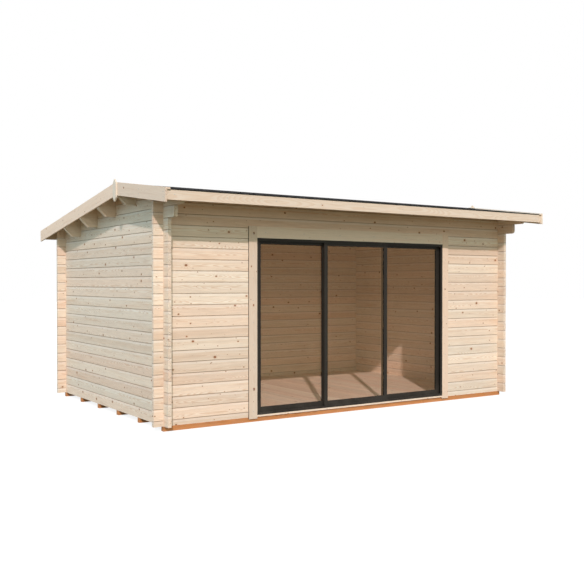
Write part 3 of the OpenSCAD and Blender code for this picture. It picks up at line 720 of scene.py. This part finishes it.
# Outlines as (outwards from the daylight opening's edge, inwards from the leaf's face)
bead_line = np.array([[11.6, 0.3], [11.6, 3.8], [-0.3, 3.8], [-0.3, 9.6], [-2.8, 9.6], [-4.0, 8.0],
                      [-4.0, 1.5], [-2.8, 0.3]]) / 1000
seal_line = np.array([[-0.4, 9.8], [-0.4, 10.9], [-6.6, 10.9], [-6.9, 10.3], [-5.2, 8.9], [-4.2, 8.2],
                      [-2.9, 9.8]]) / 1000


def mitred_rings(name, glass, line):
    """Two closed rings, in front of a pane and behind it: the outline goes round the opening's four corners,
    each corner moved outwards along both sides by the outline's first number."""
    low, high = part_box(glass)
    middle, half = (low + high) / 2, (high - low) / 2
    turns = np.array([[-1, -1], [1, -1], [1, 1], [-1, 1]])
    co = np.zeros((2, 4, len(line), 3))
    co[..., 0] = middle.x + turns[:, :1] * (half.x - let_in + line[:, 0])
    co[..., 2] = middle.z + turns[:, 1:] * (half.z - let_in + line[:, 0])
    co[..., 1] = middle.y + np.array([-1, 1])[:, None, None] * (half_leaf - line[:, 1])
    index = np.arange(co.size // 3).reshape(2, 4, len(line))
    beside, onward = np.roll(index, -1, axis=2), np.roll(index, -1, axis=1)
    quads = np.stack([index, beside, np.roll(beside, -1, axis=1), onward], axis=-1)
    return closed_mesh(name, co, [quads[0].reshape(-1, 4), quads[1].reshape(-1, 4)[:, ::-1]])


soft_rubber = rubber("seal_rubber", (0.012, 0.012, 0.012), 0.05)
for pane_name in ("left_fixed", "sliding", "right_fixed"):
    body = "door_leaf" if pane_name == "sliding" else "house"
    for kind, line, finish in (("beads", bead_line, anthracite), ("seals", seal_line, soft_rubber)):
        piece = mitred_rings(f"{pane_name}_{kind}", pane_name + "_glass", line)
        piece.data.materials.append(finish)
        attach(piece, body)

# ---------------------------------------------------------------------------------------------
# Screws
# Stainless washer-head screws with a six-lobed socket, in rows through the trims, the fascias,
# the barge boards where they cross a purlin, and the finials.


def screw_heads(name, places, axis, out):
    """Low round heads in one mesh, facing out (-1 or 1) along an axis: rings of points at a radius and a
    height, the socket's rings swelling and shrinking six times round."""
    segments = 12
    turn = np.arange(segments) * 2 * math.pi / segments
    rings = np.array([[5.0, -0.2, 0], [4.8, 0.9, 0], [3.4, 1.7, 0], [2.2, 1.8, 0.12], [1.9, 0.5, 0.12]])
    rings = rings / [1000, 1000, 1]
    reach = rings[:, :1] * (1 + rings[:, 2:] * np.cos(6 * turn))
    flat = np.stack([reach * np.cos(turn), reach * np.sin(turn),
                     np.broadcast_to(rings[:, 1:2], reach.shape)], axis=-1).reshape(-1, 3)
    order = [[2, 0, 1], [1, 2, 0]][axis]
    local = flat[:, order] * np.where(np.arange(3) == axis, out, 1)
    co = np.asarray(places)[:, None, :] + local[None]
    index = np.arange(co.shape[0] * co.shape[1]).reshape(len(places), len(rings), segments)
    after = np.roll(index, -1, axis=2)
    walls = np.stack([index[:, :-1], after[:, :-1], after[:, 1:], index[:, 1:]], axis=-1).reshape(-1, 4)
    return closed_mesh(name, co, [walls, index[:, 0, ::-1], index[:, -1]])


def steel(name):
    """Dull stainless steel with a brushed sparkle."""
    made, tree, shader = new_material(name, Metallic=1.0)
    spot = add(tree, "TexCoord").outputs["Object"]
    brush = cloud(tree, scaled(tree, spot, 900.0))[0]
    tone = calc(tree, "MULTIPLY_ADD", brush, 0.16, 0.42)
    rough = calc(tree, "MULTIPLY_ADD", brush, 0.2, 0.35)
    dusted(tree, shader, point(tree, tone, tone, tone), rough, 0.2, spot)
    return made


def rows(low, high, count, at_ends):
    """Even places from low to high, at_ends in from both."""
    return np.linspace(low + at_ends, high - at_ends, count)


trim_screws = [((low.x + high.x) / 2, low.y, z) for low, high in (trim_boxes["left"], trim_boxes["right"])
               for z in rows(low.z, high.z, 9, 0.09)]
low, high = trim_boxes["head"]
trim_screws += [(x, low.y, (low.z + high.z) / 2) for x in rows(low.x, high.x, 6, 0.12)]
eaves = [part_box("front_fascia"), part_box("back_fascia")]
front_screws, back_screws = [
    [(x, box[i].y, (box[0].z + box[1].z) / 2) for x in rows(box[0].x, box[1].x, 10, 0.1)]
    for i, box in enumerate(eaves)]
barge_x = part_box("right_barge_boards")[1].x
barge_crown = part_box("right_barge_boards")[1].z
purlin_places = [ridge_y + 0.09] + [purlin_low.y + purlin_t / 2 + i * purlin_pitch for i in range(3)]
eave_front, eave_back = eaves[0][0].y, eaves[1][1].y
barge_places = [eave_front + 0.03, (eave_front + ridge_y) / 2] + purlin_places + [eave_back - 0.03]
barge_screws = [(y, barge_crown - fall * abs(y - ridge_y) - 0.05 - 0.055 * row)
                for y in barge_places for row in (0, 1)]
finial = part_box("right_finial")
finial_screws = [(ridge_y, (finial[0].z + finial[1].z) / 2 + off) for off in (-0.07, 0.07)]
fixings = [screw_heads("front_screws", trim_screws + front_screws, 1, -1),
           screw_heads("back_screws", back_screws, 1, 1)]
for side, label in ((-1, "left"), (1, "right")):
    gable = [(side * barge_x, *place) for place in barge_screws]
    gable += [(side * finial[1].x, *place) for place in finial_screws]
    fixings.append(screw_heads(label + "_screws", gable, 0, side))
stainless = steel("screw_steel")
for piece in fixings:
    piece.data.materials.append(stainless)
    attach(piece, "house")

# ---------------------------------------------------------------------------------------------
# Floor of the studio, light and camera
# A floor that is pale where it is seen and throws a dark warm tone on the house, a soft sky, one
# low sun from the left of the front, and two wide fills: a cool one from the left and a warm one
# from the front.
warm_floor, pale_floor, pale_glow = (0.125, 0.11, 0.06, 1), (0.2, 0.2, 0.2, 1), 0.87


def looked_at(tree):
    """1 for what is seen, straight, in a mirror or through glass, and 0 for light that falls on things."""
    path = add(tree, "LightPath").outputs
    passed_on = calc(tree, "MAXIMUM", path["Is Glossy Ray"], path["Is Transmission Ray"])
    return calc(tree, "MAXIMUM", path["Is Camera Ray"], passed_on)


ground = bpy.data.meshes.new("studio_floor")
reach = 60.0
corners = [(-reach, -reach, 0), (reach, -reach, 0), (reach, reach, 0), (-reach, reach, 0)]
ground.from_pydata(corners, [], [(0, 1, 2, 3)])
studio_floor = bpy.data.objects.new("studio_floor", ground)
bpy.context.scene.collection.objects.link(studio_floor)
paint, tree, shader = new_material("studio_floor", Roughness=0.9, Specular_IOR_Level=0.1)
seen = looked_at(tree)
tree.links.new(blend_in(tree, seen, warm_floor, pale_floor), shader.inputs["Base Color"])
shader.inputs["Emission Color"].default_value = (1, 1, 1, 1)
tree.links.new(calc(tree, "MULTIPLY", seen, pale_glow), shader.inputs["Emission Strength"])
ground.materials.append(paint)

scene = bpy.context.scene
sky = bpy.data.worlds.new("soft_sky")
scene.world = sky
sky.use_nodes = True
tree = sky.node_tree
back = tree.nodes["Background"]
seen = looked_at(tree)
tree.links.new(blend_in(tree, seen, (0.72, 0.78, 0.83, 1), (1, 1, 1, 1)), back.inputs["Color"])


def shine(name, heading, elevation, strength, spread, tint):
    """A distant lamp that shines towards a heading, in degrees from +Y to +X, from a height and with a
    spread in degrees."""
    light = bpy.data.lights.new(name, "SUN")
    light.energy, light.angle, light.color = strength, math.radians(spread), tint
    lamp = bpy.data.objects.new(name, light)
    heading, elevation = math.radians(heading), math.radians(elevation)
    level = math.cos(elevation)
    beam = Vector((math.sin(heading) * level, math.cos(heading) * level, -math.sin(elevation)))
    lamp.rotation_mode = "QUATERNION"
    lamp.rotation_quaternion = beam.to_track_quat("-Z", "Y")
    scene.collection.objects.link(lamp)


shine("sun", 30.3, 31.4, 2.15, 1.1, (1.0, 0.85, 0.85))
shine("cool_fill", 100.0, 15.0, 0.45, 70.0, (0.20, 0.78, 1.0))
shine("warm_fill", 10.0, 8.0, 0.5, 70.0, (1.0, 0.98, 0.42))

lens = bpy.data.cameras.new("camera")
lens.lens, lens.sensor_width, lens.clip_end = 50.0, 36.0, 200.0
camera = bpy.data.objects.new("camera", lens)
camera.location = (-6.5615, -10.0068, 1.6786)
camera.rotation_euler = (math.radians(90 - 0.67), 0, math.radians(-33.57))
scene.collection.objects.link(camera)
scene.camera = camera
scene.view_settings.view_transform = "Standard"
